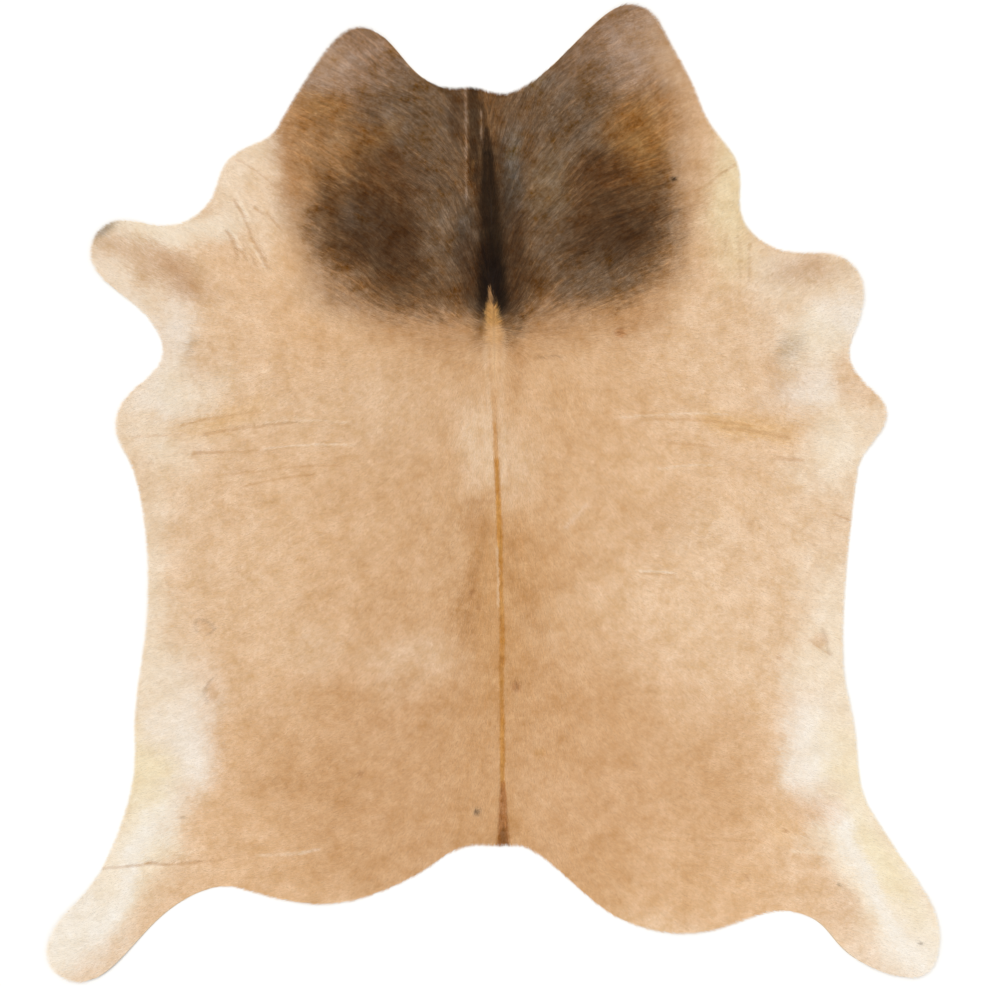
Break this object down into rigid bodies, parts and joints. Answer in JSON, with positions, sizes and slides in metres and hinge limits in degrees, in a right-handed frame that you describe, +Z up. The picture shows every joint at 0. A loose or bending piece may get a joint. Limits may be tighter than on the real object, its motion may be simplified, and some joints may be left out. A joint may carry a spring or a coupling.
{
  "type": "hair-on cattle hide",
  "caption": "Whole hair-on cattle hide laid flat as a floor rug: tan coat, dark neck saddle, pale legs and belly edges, low folds and slightly curled edges.",
  "frame": {"origin": "middle of the hide's bounding box, on the floor that it lies on", "axes": "+Z up from the floor, +Y along the backbone toward the neck, +X toward the side that is on the right when the neck is at the top"},
  "size_m": [2.003, 2.1964, 0.01],
  "materials": {
    "hair_on_hide": "short lying tan hair over tanned skin, suede flesh side, raw cut edge"
  },
  "bodies": {
    "root": {"hide": "hair_on_hide"}
  },
  "joints": []
}
